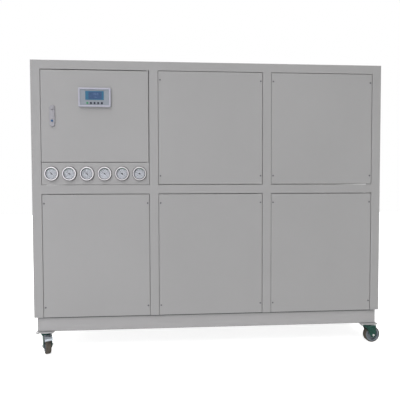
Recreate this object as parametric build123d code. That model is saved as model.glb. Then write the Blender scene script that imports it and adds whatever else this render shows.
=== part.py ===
from build123d import *
import os

os.makedirs("parts", exist_ok=True)

# Recirculating chiller: a sheet-metal cabinet on a base frame with four casters.
# Units are millimetres. The origin is on the floor under the middle of the cabinet,
# +X to the right of someone who faces the control door, +Y to the back, +Z up.

# Cabinet body
body_width = 2200.0
body_depth = 1000.0
body_height = 1582.0
columns = 3
upper_bay_height = 707.0

# Base frame and caster height under the body
caster_height = 136.0
base_height = 92.0
base_inset = 12.0
base_tube_width = 60.0
base_wall = 4.0
base_end_radius = 12.0
base_edge_radius = 8.0

# Frame tubes
post_size = 56.5
mullion_size = 54.0
top_rail_height = 53.5
mid_rail_height = 54.5
tube_wall = 2.5

# Sheet panels, folded back at their four edges
sheet = 2.0
fold_radius = 3.0
panel_depth = 20.0
panel_gap = 3.0
panel_side_gap = 2.3
lower_panel_top_gap = 4.2
stop_width = 25.0
roof_sheet = 2.0
floor_sheet = 3.0

# Control door and the gauge panel under it
gauge_row_height = 139.5
gauge_panel_bottom_gap = 1.3
door_seam = 3.0
door_gap_hinge = 4.5
door_gap_lock = 2.0
door_gap_top = 5.0
door_seal = 2.0
hinge_offset = 6.0
hinge_pin_radius = 2.5
hinge_collar_radius = 5.0
hinge_pin_length = 12.0
running_fit = 0.05

# Controller on the door
controller_width = 196.0
controller_height = 116.0
controller_proud = 12.0
controller_corner = 6.0
controller_edge = 2.0
controller_border = 10.0
controller_recess = 4.0
controller_below_door_top = 166.0
controller_back_depth = 45.0
controller_back_step = 12.0
cutout_clearance = 1.0
display_width = 111.0
display_height = 53.0
display_thickness = 2.0
display_up = 11.0
key_radius = 6.0
key_spacing = 22.0
key_count = 5
key_thickness = 3.0
key_down = 35.0

# Lock with a lever that springs out of its plate
lock_length = 130.0
lock_width = 32.0
lock_proud = 7.0
lock_edge = 2.0
lock_from_door_edge = 70.0
lock_down = 279.5
lock_boss_radius = 13.0
lock_boss_height = 4.0
key_slot_width = 3.0
lever_length = 56.0
lever_width = 12.0
lever_thickness = 5.0
lever_proud = 1.5
lever_side_clearance = 0.5
lever_floor_clearance = 1.0
button_radius = 7.0
button_height = 5.0
button_edge = 1.5
button_from_end = 34.0
lock_back_width = 26.0
lock_back_height = 90.0
lock_back_depth = 28.0

# Pressure gauges
gauge_count = 6
gauge_spacing = 107.0
gauge_case_radius = 33.0
gauge_case_depth = 32.0
gauge_flange_radius = 41.0
gauge_flange_thickness = 3.0
gauge_bezel_radius = 42.5
gauge_window_radius = 35.5
gauge_bezel_height = 12.0
gauge_bezel_edge = 2.5
gauge_bezel_clearance = 0.2
dial_thickness = 1.0
lens_height = 6.0
lens_thickness = 2.0
pointer_length = 25.0
pointer_tail = 9.0
pointer_width = 4.0
pointer_hub_radius = 4.0
pointer_thickness = 1.0
pointer_angles = (38.0, 62.0, 30.0, 55.0, 44.0, 70.0)

# Control compartment behind the door
box_depth = 230.0
box_side_clearance = 1.0
box_sheet = 2.0
plate_margin = 25.0
plate_standoff = 12.0
plate_sheet = 2.5
rail_height = 35.0
rail_depth = 7.5
breaker_row_share = 0.68
contactor_row_share = 0.28
breaker_width = 18.0
breaker_gap = 1.0
breaker_height = 82.0
breaker_depth = 66.0
breaker_nose_height = 44.0
breaker_nose_depth = 22.0
breaker_count = 9
contactor_width = 45.0
contactor_height = 80.0
contactor_depth = 82.0
contactor_nose_height = 44.0
contactor_nose_depth = 28.0
contactor_count = 4
contactor_gap = 12.0
duct_width = 40.0
duct_depth = 60.0
standoff_radius = 8.0

# Water ports and cable gland on the back
port_outer_radius = 30.15
port_inner_radius = 26.5
port_reach = 40.0
port_inside = 60.0
port_nut_radius = 42.0
port_nut_thickness = 14.0
port_hole_clearance = 1.0
port_spacing_x = 220.0
port_low = 190.0
port_spacing_z = 200.0
gland_radius = 16.0
gland_hole_radius = 9.0
gland_reach = 30.0
gland_nut_radius = 20.0
gland_nut_thickness = 10.0
gland_below_bay_top = 200.0

# Casters
caster_from_side = 60.0
caster_from_front = 45.0
caster_plate_x = 112.0
caster_plate_y = 100.0
caster_plate_thickness = 5.0
caster_plate_corner = 10.0
wheel_radius = 52.0
wheel_clearance = 5.0
tyre_width = 34.0
tyre_thickness = 7.0
tyre_shoulder = 5.0
trail = 38.0
race_radius = 31.0
race_height = 9.0
race_gap = 0.3
crown_radius = 33.0
crown_edge = 2.5
fork_sheet = 4.0
fork_top_above_wheel = 10.0
fork_lead = 16.0
fork_tail = 58.0
leg_inner = 22.0
leg_boss_radius = 17.0
kingpin_radius = 6.0
kingpin_below_crown = 2.0
axle_radius = 6.0
axle_end = 3.0
hub_side_gap = 0.3
hub_boss_radius = 14.0
hub_web = 9.0
hub_rim_inner_radius = 36.0
hub_rim_width = 30.0
hub_fit = 0.05
pedal_width = 46.0
pedal_sheet = 3.0
pedal_flat_end = 64.0
pedal_slope_end = 96.0
pedal_lip_end = 107.0
pedal_drop = 33.0
pedal_lip_drop = 4.0
front_left_turn = -66.0
front_right_turn = 4.0

# Places worked out from the sizes above
base_bottom = caster_height
body_bottom = base_bottom + base_height
body_top = body_bottom + body_height
frame_top = body_top - roof_sheet
upper_top = body_top - top_rail_height
upper_bottom = upper_top - upper_bay_height
lower_top = upper_bottom - mid_rail_height
lower_bottom = body_bottom
half_width = body_width / 2
half_depth = body_depth / 2
front = -half_depth
back = half_depth
bay_width = (body_width - 2 * post_size - (columns - 1) * mullion_size) / columns
bay_pitch = bay_width + mullion_size
bay_centres = [(i - (columns - 1) / 2) * bay_pitch for i in range(columns)]
side_bay_width = body_depth - 2 * post_size
stop_front = front + panel_depth
seam_height = upper_bottom + gauge_row_height
control_x = bay_centres[0]
bay_left = control_x - bay_width / 2
bay_right = control_x + bay_width / 2
door_left = bay_left + door_gap_lock
door_right = bay_right - door_gap_hinge
door_bottom = seam_height + door_seam / 2
door_top = upper_top - door_gap_top
door_width = door_right - door_left
door_height = door_top - door_bottom
door_x = (door_left + door_right) / 2
door_z = (door_bottom + door_top) / 2
door_depth = panel_depth - door_seal
hinge_x = door_right - hinge_offset
hinge_y = front + hinge_offset
over = 1.0


def block(x0, x1, y0, y1, z0, z1):
    """A box between two corners."""
    middle = Pos((x0 + x1) / 2, (y0 + y1) / 2, (z0 + z1) / 2)
    return middle * Box(x1 - x0, y1 - y0, z1 - z0)


def tube(x0, x1, y0, y1, z0, z1, along, wall):
    """A square tube between two corners, open at both ends along one axis."""
    outer = block(x0, x1, y0, y1, z0, z1)
    dx, dy, dz = [-over if axis == along else wall for axis in "xyz"]
    return outer - block(x0 + dx, x1 - dx, y0 + dy, y1 - dy, z0 + dz, z1 - dz)


def disc(radius, low, high):
    """A round disc about Z between two heights."""
    return Pos(0, 0, (low + high) / 2) * Cylinder(radius, high - low)


def ring(outer_radius, inner_radius, low, high):
    """A flat ring about Z between two heights."""
    return disc(outer_radius, low, high) - disc(inner_radius, low - over, high + over)


def upright(x, z, face=front, turn=0.0):
    """The place on a wall where local Z points out of it and local Y points up."""
    return Rot(0, 0, turn) * Pos(x, face, z) * Rot(90, 0, 0)


def pan(width, height, depth=panel_depth):
    """A sheet panel with folded edges: its face at Z 0, its returns behind it."""
    outer = Pos(0, 0, -depth / 2) * Box(width, height, depth)
    face_edges = outer.faces().sort_by(Axis.Z)[-1].edges()
    folded_across = fillet(face_edges.filter_by(Axis.X), fold_radius)
    folded_up = fillet(face_edges.filter_by(Axis.Y), fold_radius)
    inside = Box(width - 2 * sheet, height - 2 * sheet, depth)
    return (folded_across & folded_up) - Pos(0, 0, -depth / 2 - sheet) * inside


def save(name, shapes):
    """Write one node: every solid of the shapes that make it up."""
    solids = [solid for shape in shapes for solid in shape.solids()]
    node = solids[0] if len(solids) == 1 else Compound(solids)
    export_step(node, f"parts/{name}.step")


def both_ways(shape):
    """A shape and its mirror images in the two upright middle planes."""
    pair = [shape, mirror(shape, Plane.YZ)]
    return pair + [mirror(one, Plane.XZ) for one in pair]


def bays():
    """The bottom and top of each row of panels."""
    return [(lower_bottom, lower_top), (upper_bottom, upper_top)]


# Base frame
def base_rails_long():
    y0 = front + base_inset
    tube_end = half_width - base_inset
    rail = block(-tube_end, tube_end, y0, y0 + base_tube_width, base_bottom, body_bottom)
    rail = fillet(rail.edges().filter_by(Axis.Z).group_by(Axis.Y)[0], base_end_radius)
    front_edges = rail.edges().filter_by(Axis.X).group_by(Axis.Y)[0]
    rail = fillet(front_edges.sort_by(Axis.Z)[0], base_edge_radius)
    core = block(-tube_end + base_wall, tube_end - base_wall,
                 y0 + base_wall, y0 + base_tube_width - base_wall,
                 base_bottom + base_wall, body_bottom - base_wall)
    rail = rail - core
    return [rail, mirror(rail, Plane.XZ)]


def base_rails_short():
    x0 = -half_width + base_inset
    reach = half_depth - base_inset - base_tube_width
    rail = tube(x0, x0 + base_tube_width, -reach, reach, base_bottom, body_bottom, "y", base_wall)
    return [rail, mirror(rail, Plane.YZ)]


def base_cross_members():
    reach = half_depth - base_inset - base_tube_width
    members = []
    for i in range(columns - 1):
        x = bay_centres[i] + bay_pitch / 2
        members.append(tube(x - base_tube_width / 2, x + base_tube_width / 2, -reach, reach,
                            base_bottom, body_bottom, "y", base_wall))
    return members


def floor_pan():
    inset = post_size + over
    return [block(-half_width + inset, half_width - inset, front + inset, back - inset,
                  body_bottom, body_bottom + floor_sheet)]


# Cabinet frame
def corner_posts():
    x0 = -half_width
    y0 = front
    post = tube(x0, x0 + post_size, y0, y0 + post_size, body_bottom, frame_top, "z", tube_wall)
    for low, high in bays():
        post += block(x0 + post_size, x0 + post_size + stop_width,
                      y0 + panel_depth, y0 + panel_depth + sheet, low, high)
        post += block(x0 + panel_depth, x0 + panel_depth + sheet,
                      y0 + post_size, y0 + post_size + stop_width, low, high)
    return both_ways(post)


def mullions():
    pieces = []
    for i in range(columns - 1):
        x = bay_centres[i] + bay_pitch / 2
        half = mullion_size / 2
        post = tube(x - half, x + half, front, front + post_size, body_bottom, frame_top,
                    "z", tube_wall)
        for low, high in bays():
            for x0 in (x - half - stop_width, x + half):
                post += block(x0, x0 + stop_width, stop_front, stop_front + sheet, low, high)
        pieces += [post, mirror(post, Plane.XZ)]
    return pieces


def rails_between(low, high):
    """The tubes of one level: between the uprights in front and behind, and at the sides."""
    pieces = []
    for x in bay_centres:
        rail = tube(x - bay_width / 2, x + bay_width / 2, front, front + post_size,
                    low, high, "x", tube_wall)
        pieces += [rail, mirror(rail, Plane.XZ)]
    side = tube(-half_width, -half_width + post_size, -side_bay_width / 2, side_bay_width / 2,
                low, high, "y", tube_wall)
    return pieces + [side, mirror(side, Plane.YZ)]


def roof_panel():
    return [block(-half_width, half_width, front, back, frame_top, body_top)]


# Panels
def bay_panel(width, bottom, top):
    """A screwed panel between two heights of a bay, with its middle height."""
    return pan(width - 2 * panel_side_gap, top - bottom), (bottom + top) / 2


def lower_panel(width):
    return bay_panel(width, lower_bottom, lower_top - lower_panel_top_gap)


def upper_panel(width):
    return bay_panel(width, upper_bottom + panel_gap, upper_top - panel_gap)


def lower_front_panels():
    panel, z = lower_panel(bay_width)
    return [upright(x, z) * panel for x in bay_centres]


def upper_front_panels():
    panel, z = upper_panel(bay_width)
    return [upright(x, z) * panel for x in bay_centres[1:]]


def port_places():
    """Middle of each water port on the back panel, across and up."""
    x = bay_centres[-1]
    low = lower_bottom + port_low
    return [(x + dx * port_spacing_x / 2, low + row * port_spacing_z)
            for row in (0, 1) for dx in (-1, 1)]


def gland_place():
    return bay_centres[-1], lower_top - gland_below_bay_top


def back_panels():
    pieces = []
    for x in bay_centres:
        for panel, z in (lower_panel(bay_width), upper_panel(bay_width)):
            placed = upright(-x, z, front, 180.0) * panel
            if x == bay_centres[-1] and z < upper_bottom:
                for hole_x, hole_z in port_places():
                    hole = disc(port_outer_radius + port_hole_clearance, -panel_depth, over)
                    placed -= upright(-hole_x, hole_z, front, 180.0) * hole
                gland_x, gland_z = gland_place()
                hole = disc(gland_radius + port_hole_clearance, -panel_depth, over)
                placed -= upright(-gland_x, gland_z, front, 180.0) * hole
            pieces.append(placed)
    return pieces


def side_panels():
    pieces = []
    for panel, z in (lower_panel(side_bay_width), upper_panel(side_bay_width)):
        for turn in (-90.0, 90.0):
            pieces.append(upright(0.0, z, -half_width, turn) * panel)
    return pieces


# Pressure gauges
gauge_panel_bottom = upper_bottom + gauge_panel_bottom_gap
gauge_panel_top = seam_height - door_seam / 2
gauge_z = (gauge_panel_bottom + gauge_panel_top) / 2


def gauge_places():
    """Middle of each gauge in the row, across and up."""
    return [(control_x + (i - (gauge_count - 1) / 2) * gauge_spacing, gauge_z)
            for i in range(gauge_count)]


def at_gauges(shape):
    return [upright(x, z) * shape for x, z in gauge_places()]


def gauge_panel():
    panel, z = bay_panel(bay_width, gauge_panel_bottom, gauge_panel_top)
    panel = upright(control_x, z) * panel
    hole = disc(gauge_case_radius + cutout_clearance, -panel_depth, over)
    for cut in at_gauges(hole):
        panel -= cut
    return [panel]


def gauge_cases():
    case = disc(gauge_case_radius, -gauge_case_depth, gauge_flange_thickness)
    case += disc(gauge_flange_radius, 0.0, gauge_flange_thickness)
    return at_gauges(case)


def gauge_bezels():
    inner = gauge_flange_radius + gauge_bezel_clearance
    shoulder = lens_height + lens_thickness
    bezel = disc(gauge_bezel_radius, 0.0, gauge_bezel_height)
    outer_edge = bezel.edges().sort_by(Axis.Z)[-1]
    bezel = chamfer(outer_edge, gauge_bezel_edge)
    bezel -= disc(inner, -over, shoulder)
    bezel -= disc(gauge_window_radius, -over, gauge_bezel_height + over)
    return at_gauges(bezel)


def gauge_dials():
    low = gauge_flange_thickness
    return at_gauges(disc(gauge_flange_radius, low, low + dial_thickness))


def gauge_lenses():
    return at_gauges(disc(gauge_flange_radius, lens_height, lens_height + lens_thickness))


def gauge_pointers():
    low = gauge_flange_thickness + dial_thickness
    pieces = []
    for (x, z), angle in zip(gauge_places(), pointer_angles):
        blade = Polygon((-pointer_tail, -pointer_width / 2), (pointer_length, 0.0),
                        (-pointer_tail, pointer_width / 2), align=None)
        pointer = extrude(blade, pointer_thickness) + disc(pointer_hub_radius, 0.0, pointer_thickness)
        pieces.append(upright(x, z) * Pos(0, 0, low) * Rot(0, 0, 90.0 + angle) * pointer)
    return pieces


# Control compartment
box_front = stop_front + sheet
box_back = front + box_depth
box_left = bay_left + box_side_clearance
box_right = bay_right - box_side_clearance
box_bottom = seam_height
box_top = upper_top


def control_box_sides():
    side = block(box_left, box_left + box_sheet, box_front, box_back, box_bottom, box_top)
    other = block(box_right - box_sheet, box_right, box_front, box_back, box_bottom, box_top)
    return [side, other]


def control_box_top_and_floor():
    x0 = box_left + box_sheet
    x1 = box_right - box_sheet
    floor = block(x0, x1, box_front, box_back, box_bottom, box_bottom + box_sheet)
    top = block(x0, x1, box_front, box_back, box_top - box_sheet, box_top)
    return [floor, top]


def control_box_back():
    return [block(box_left, box_right, box_back, box_back + box_sheet, box_bottom, box_top)]


def plate_y():
    return box_back - plate_standoff


def plate_box():
    """Left, right, bottom and top of the mounting plate."""
    inset = box_sheet + plate_margin
    return box_left + inset, box_right - inset, box_bottom + inset, box_top - inset


def mounting_plate():
    x0, x1, z0, z1 = plate_box()
    plate = block(x0, x1, plate_y() - plate_sheet, plate_y(), z0, z1)
    for x in (x0 + plate_margin, x1 - plate_margin):
        for z in (z0 + plate_margin, z1 - plate_margin):
            plate += upright(x, z, plate_y()) * disc(standoff_radius, -plate_standoff, 0.0)
    return [plate]


def device_rows():
    """Heights of the breaker row and the contactor row on the mounting plate."""
    x0, x1, z0, z1 = plate_box()
    return z0 + (z1 - z0) * breaker_row_share, z0 + (z1 - z0) * contactor_row_share


def din_rails():
    x0, x1, z0, z1 = plate_box()
    y1 = plate_y() - plate_sheet
    inset = duct_width + contactor_gap
    rails = []
    for z in device_rows():
        rails.append(block(x0 + inset, x1 - inset, y1 - rail_depth, y1,
                           z - rail_height / 2, z + rail_height / 2))
    return rails


def device_row(count, width, gap, height, depth, nose_height, nose_depth, z):
    """Like devices side by side on a rail, each a body with a narrower nose."""
    x0, x1, z0, z1 = plate_box()
    y1 = plate_y() - plate_sheet - rail_depth
    nose_y = y1 - depth + nose_depth
    middle = (x0 + x1) / 2
    pieces = []
    for i in range(count):
        x = middle + (i - (count - 1) / 2) * (width + gap)
        left, right = x - width / 2, x + width / 2
        body = block(left, right, nose_y, y1, z - height / 2, z + height / 2)
        body += block(left, right, y1 - depth, nose_y, z - nose_height / 2, z + nose_height / 2)
        pieces.append(body)
    return pieces


def breakers():
    z = device_rows()[0]
    return device_row(breaker_count, breaker_width, breaker_gap, breaker_height, breaker_depth,
                      breaker_nose_height, breaker_nose_depth, z)


def contactors():
    z = device_rows()[1]
    return device_row(contactor_count, contactor_width, contactor_gap, contactor_height,
                      contactor_depth, contactor_nose_height, contactor_nose_depth, z)


def wiring_ducts():
    x0, x1, z0, z1 = plate_box()
    y1 = plate_y() - plate_sheet
    upper, lower = device_rows()
    middle = (upper + lower) / 2
    inset = duct_width + contactor_gap
    ducts = [block(x0, x0 + duct_width, y1 - duct_depth, y1, z0 + duct_width, z1 - duct_width),
             block(x1 - duct_width, x1, y1 - duct_depth, y1, z0 + duct_width, z1 - duct_width),
             block(x0 + inset, x1 - inset, y1 - duct_depth, y1,
                   middle - duct_width / 2, middle + duct_width / 2)]
    return ducts


# Control door
def controller_place():
    return door_x, door_top - controller_below_door_top


def lock_place():
    return door_left + lock_from_door_edge, door_top - lock_down


def controller_back_size():
    return (controller_width - 2 * controller_back_step,
            controller_height - 2 * controller_back_step)


def hinge_pins():
    """Two fixed pins, one in the top rail and one on the gauge panel, with their collars."""
    pieces = []
    for seat, door_edge, way in ((upper_top, door_top, -1), (gauge_panel_top, door_bottom, 1)):
        collar = sorted((seat, door_edge - way * running_fit))
        spigot = sorted((seat, seat + way * hinge_pin_length))
        pin = disc(hinge_collar_radius, *collar) + disc(hinge_pin_radius, *spigot)
        pieces.append(Pos(hinge_x, hinge_y, 0) * pin)
    return pieces


def door_panel():
    door = upright(door_x, door_z) * pan(door_width, door_height, door_depth)
    hole = disc(hinge_pin_radius + running_fit, door_bottom - over, door_top + over)
    core = block(hinge_x - hinge_offset, hinge_x + hinge_offset, hinge_y - hinge_offset + sheet,
                 hinge_y + hinge_offset, door_bottom + 2 * sheet, door_top - 2 * sheet)
    door -= Pos(hinge_x, hinge_y, 0) * hole - core
    width, height = controller_back_size()
    cut = Box(width + cutout_clearance, height + cutout_clearance, 4 * sheet)
    door -= upright(*controller_place()) * cut
    cut = Box(lock_back_width + cutout_clearance, lock_back_height + cutout_clearance, 4 * sheet)
    door -= upright(*lock_place()) * cut
    return [door]


def controller_housing():
    width, height = controller_back_size()
    outline = RectangleRounded(controller_width, controller_height, controller_corner)
    housing = extrude(outline, controller_proud)
    housing = chamfer(housing.faces().sort_by(Axis.Z)[-1].edges(), controller_edge)
    face = Box(controller_width - 2 * controller_border, controller_height - 2 * controller_border,
               2 * controller_recess)
    housing -= Pos(0, 0, controller_proud) * face
    depth = controller_back_depth
    housing += Pos(0, 0, -depth / 2) * Box(width, height, depth)
    return [upright(*controller_place()) * housing]


def controller_display():
    low = controller_proud - controller_recess
    screen = Box(display_width, display_height, display_thickness)
    place = Pos(0, display_up, low + display_thickness / 2)
    return [upright(*controller_place()) * place * screen]


def controller_keys():
    low = controller_proud - controller_recess
    keys = []
    for i in range(key_count):
        x = (i - (key_count - 1) / 2) * key_spacing
        key = disc(key_radius, low, low + key_thickness)
        keys.append(upright(*controller_place()) * Pos(x, -key_down, 0) * key)
    return keys


# Lock
lever_top = lock_length / 2 - 2 * lock_boss_radius - 2 * lever_floor_clearance
lever_middle = lever_top - lever_length / 2
lever_front = lock_proud + lever_proud
lever_back = lever_front - lever_thickness
lever_pivot = lever_top - lever_thickness / 2


def lock_plate():
    plate = extrude(SlotOverall(lock_length, lock_width, rotation=90.0), lock_proud)
    plate = chamfer(plate.faces().sort_by(Axis.Z)[-1].edges(), lock_edge)
    pocket = Box(lever_width + 2 * lever_side_clearance, lever_length + 2 * lever_floor_clearance,
                 2 * (lock_proud - lever_back + lever_floor_clearance))
    plate -= Pos(0, lever_middle, lock_proud) * pocket
    boss_y = lock_length / 2 - lock_boss_radius - lever_floor_clearance
    boss = disc(lock_boss_radius, lock_proud, lock_proud + lock_boss_height)
    slot = extrude(SlotOverall(lock_boss_radius, key_slot_width), 2 * lock_boss_height)
    plate += Pos(0, boss_y, 0) * (boss - Pos(0, 0, lock_proud + lock_boss_height / 2) * slot)
    plate += Pos(0, 0, -lock_back_depth / 2) * Box(lock_back_width, lock_back_height, lock_back_depth)
    return [upright(*lock_place()) * plate]


def lock_button():
    y = -lock_length / 2 + button_from_end
    button = disc(button_radius, lock_proud, lock_proud + button_height)
    button = chamfer(button.edges().sort_by(Axis.Z)[-1], button_edge)
    return [upright(*lock_place()) * Pos(0, y, 0) * button]


def lock_lever():
    side = Rot(0, 0, 90) * SlotOverall(lever_length, lever_thickness)
    lever = Rot(0, 90, 0) * extrude(side, lever_width / 2, both=True)
    place = Pos(0, lever_middle, (lever_front + lever_back) / 2)
    return [upright(*lock_place()) * place * lever]


# Back fittings
def water_ports():
    port = ring(port_outer_radius, port_inner_radius, -port_inside, port_reach)
    port += (extrude(RegularPolygon(port_nut_radius, 6), port_nut_thickness)
             - disc(port_inner_radius, -over, port_nut_thickness + over))
    return [upright(-x, z, front, 180.0) * port for x, z in port_places()]


def cable_gland():
    x, z = gland_place()
    gland = ring(gland_radius, gland_hole_radius, -panel_depth, gland_reach)
    nut = extrude(RegularPolygon(gland_nut_radius, 6), gland_nut_thickness)
    gland += nut - disc(gland_hole_radius, -over, gland_nut_thickness + over)
    return [upright(-x, z, front, 180.0) * gland]


# Casters
wheel_height = wheel_radius
race_bottom = caster_height - caster_plate_thickness - race_height
crown_top = race_bottom - race_gap
fork_top = 2 * wheel_radius + fork_top_above_wheel
leg_outer = leg_inner + fork_sheet
caster_x = half_width - caster_from_side
caster_y = half_depth - caster_from_front
caster_places = {
    "front_left": Pos(-caster_x, -caster_y, 0) * Rot(0, 0, front_left_turn),
    "front_right": Pos(caster_x, -caster_y, 0) * Rot(0, 0, front_right_turn),
    "back_left": Pos(-caster_x, caster_y, 0) * Rot(0, 0, front_right_turn + 180.0),
    "back_right": Pos(caster_x, caster_y, 0) * Rot(0, 0, front_left_turn + 180.0),
}
braked = ("front_left", "back_right")
at_axle = Pos(trail, 0, wheel_height) * Rot(90, 0, 0)


def caster_plates():
    low = caster_height - caster_plate_thickness
    plate = extrude(RectangleRounded(caster_plate_x, caster_plate_y, caster_plate_corner),
                    caster_plate_thickness)
    plate = Pos(0, 0, low) * plate
    plate += disc(race_radius, race_bottom, low)
    plate += disc(kingpin_radius, fork_top - fork_sheet - kingpin_below_crown, low)
    return both_ways(Pos(-caster_x, -caster_y, 0) * plate)


def caster_fork():
    """The pressed fork under its swivel crown, with the axle, trailing to +X."""
    boss = Pos(trail, wheel_height) * Circle(leg_boss_radius)
    top_middle = Pos((fork_tail - fork_lead) / 2, fork_top - fork_sheet / 2)
    top = top_middle * Rectangle(fork_tail + fork_lead, fork_sheet)
    profile = make_hull(boss.edges() + top.edges())
    fork = Rot(90, 0, 0) * extrude(profile, leg_outer, both=True)
    hollow = offset(profile, -fork_sheet)
    fork -= Rot(90, 0, 0) * extrude(hollow, leg_inner, both=True)
    fork -= at_axle * disc(wheel_radius + wheel_clearance, -leg_inner, leg_inner)
    crown = disc(crown_radius, fork_top - fork_sheet, crown_top)
    fork += chamfer(crown.edges().sort_by(Axis.Z)[-1], crown_edge)
    fork -= disc(kingpin_radius + running_fit, 0.0, caster_height)
    return fork + at_axle * disc(axle_radius, -leg_outer - axle_end, leg_outer + axle_end)


def caster_hub():
    """A round hub whose dished web joins the rim to the axle boss."""
    rim = wheel_radius - tyre_thickness - hub_fit
    half_boss = leg_inner - hub_side_gap
    half_web = hub_web / 2
    half_rim = hub_rim_width / 2
    bore = axle_radius + running_fit
    half = Polyline((bore, 0), (bore, half_boss), (hub_boss_radius, half_boss),
                    (hub_boss_radius, half_web), (hub_rim_inner_radius, half_web),
                    (hub_rim_inner_radius, half_rim), (rim, half_rim), (rim, 0), close=True)
    side = Plane.XZ * make_face(half)
    hub = revolve(side + mirror(side, Plane.XY), Axis.Z)
    return at_axle * hub


def caster_tyre():
    """A tyre with sloping shoulders, seated on the rim."""
    seat = wheel_radius - tyre_thickness
    half = tyre_width / 2
    section = Polyline((seat, -half), (seat, half), (wheel_radius - tyre_shoulder, half),
                       (wheel_radius, half - tyre_shoulder), (wheel_radius, tyre_shoulder - half),
                       (wheel_radius - tyre_shoulder, -half), close=True)
    return at_axle * revolve(Plane.XZ * make_face(section), Axis.Z)


def brake_pedal():
    """A bent strip that lies on the fork and slopes down in front of the wheel."""
    high = fork_top + pedal_sheet
    slope_end = high - pedal_drop
    upper = [(crown_radius + running_fit, high), (pedal_flat_end, high), (pedal_slope_end, slope_end),
             (pedal_lip_end, slope_end - pedal_lip_drop)]
    lower = [(x, z - pedal_sheet) for x, z in reversed(upper)]
    strip = make_face(Polyline(*upper, *lower, close=True))
    return Rot(90, 0, 0) * extrude(strip, pedal_width / 2, both=True)


def write_all():
    nodes = {
        "base_rails_long": base_rails_long,
        "base_rails_short": base_rails_short,
        "base_cross_members": base_cross_members,
        "floor_pan": floor_pan,
        "corner_posts": corner_posts,
        "mullions": mullions,
        "roof_panel": roof_panel,
        "lower_front_panels": lower_front_panels,
        "upper_front_panels": upper_front_panels,
        "gauge_panel": gauge_panel,
        "back_panels": back_panels,
        "side_panels": side_panels,
        "gauge_cases": gauge_cases,
        "gauge_bezels": gauge_bezels,
        "gauge_dials": gauge_dials,
        "gauge_pointers": gauge_pointers,
        "gauge_lenses": gauge_lenses,
        "control_box_sides": control_box_sides,
        "control_box_top_and_floor": control_box_top_and_floor,
        "control_box_back": control_box_back,
        "mounting_plate": mounting_plate,
        "din_rails": din_rails,
        "breakers": breakers,
        "contactors": contactors,
        "wiring_ducts": wiring_ducts,
        "hinge_pins": hinge_pins,
        "door_panel": door_panel,
        "controller_housing": controller_housing,
        "controller_display": controller_display,
        "controller_keys": controller_keys,
        "lock_plate": lock_plate,
        "lock_button": lock_button,
        "lock_lever": lock_lever,
        "water_ports": water_ports,
        "cable_gland": cable_gland,
        "caster_plates": caster_plates,
    }
    for name, make in nodes.items():
        save(name, make())
    save("top_rails", rails_between(upper_top, frame_top))
    save("mid_rails", rails_between(lower_top, upper_bottom))
    fork, hub, tyre, pedal = caster_fork(), caster_hub(), caster_tyre(), brake_pedal()
    for corner, place in caster_places.items():
        save(f"caster_fork_{corner}", [place * fork])
        save(f"caster_hub_{corner}", [place * hub])
        save(f"caster_tyre_{corner}", [place * tyre])
        if corner in braked:
            save(f"brake_pedal_{corner}", [place * pedal])


write_all()
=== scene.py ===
# %% [markdown]
# The recirculating chiller is a powder-coated sheet cabinet on four casters. Its construction is
# already fixed: every panel, rail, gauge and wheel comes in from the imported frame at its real
# size and place. This lesson only gives it its looks. It finishes each surface, and adds the
# small hardware and printing that the construction leaves out.

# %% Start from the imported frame
import math
import bmesh
import bpy
from mathutils import Matrix, Quaternion, Vector


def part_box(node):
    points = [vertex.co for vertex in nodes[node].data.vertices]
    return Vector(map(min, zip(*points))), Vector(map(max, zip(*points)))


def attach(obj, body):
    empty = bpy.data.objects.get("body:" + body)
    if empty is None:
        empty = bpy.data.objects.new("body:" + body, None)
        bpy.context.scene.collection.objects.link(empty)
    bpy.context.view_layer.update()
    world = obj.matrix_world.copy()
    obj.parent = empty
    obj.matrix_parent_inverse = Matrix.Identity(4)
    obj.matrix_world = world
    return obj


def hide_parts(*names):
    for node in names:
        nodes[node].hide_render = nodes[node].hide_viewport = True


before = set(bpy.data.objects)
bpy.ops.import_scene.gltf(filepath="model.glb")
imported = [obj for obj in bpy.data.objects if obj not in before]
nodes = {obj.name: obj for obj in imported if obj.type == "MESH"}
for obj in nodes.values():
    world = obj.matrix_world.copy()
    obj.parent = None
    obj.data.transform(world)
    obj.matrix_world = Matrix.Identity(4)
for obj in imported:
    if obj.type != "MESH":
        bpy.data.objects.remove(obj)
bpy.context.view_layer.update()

MM = 0.001
scene = bpy.context.scene

# %% [markdown]
# A photograph of a machine is matched camera first, because every later comparison depends on
# it. The lens and place below come from a fit of the cabinet's edges. The camera stands at chest
# height, a little left of the middle, and looks slightly down and to the right. A track
# quaternion points the lens along a direction, and a last small turn is the roll.

# %% Camera
camera_place = Vector((-0.241, -3.013, 1.039))
camera_yaw = math.radians(3.90)
camera_pitch = math.radians(1.95)
camera_roll = math.radians(0.17)
lens_mm = 36.0
sensor_mm = 36.0

camera_data = bpy.data.cameras.new("photo_camera")
camera_data.sensor_width = sensor_mm
camera_data.lens = lens_mm
camera = bpy.data.objects.new("photo_camera", camera_data)
look = Vector((math.sin(camera_yaw) * math.cos(camera_pitch),
               math.cos(camera_yaw) * math.cos(camera_pitch), -math.sin(camera_pitch)))
camera.location = camera_place
camera.rotation_mode = "QUATERNION"
camera.rotation_quaternion = (look.to_track_quat("-Z", "Y")
                              @ Quaternion((0.0, 0.0, 1.0), -camera_roll))
scene.collection.objects.link(camera)
scene.camera = camera
print("camera at", tuple(round(v, 3) for v in camera_place))

# %% [markdown]
# The light is a plain studio, and its first part is a dim, slightly warm light from all round.
# The background has to be white in the picture, but a white world would flood the paint. So the
# world is two backgrounds, and Light Path picks the white one only for rays that come straight
# from the camera, through glass or off a glossy surface.

# %% World
world_light = 0.185
world_colour = (1.0, 1.0, 0.97, 1.0)
pure_white = (1.0, 1.0, 1.0, 1.0)

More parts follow.
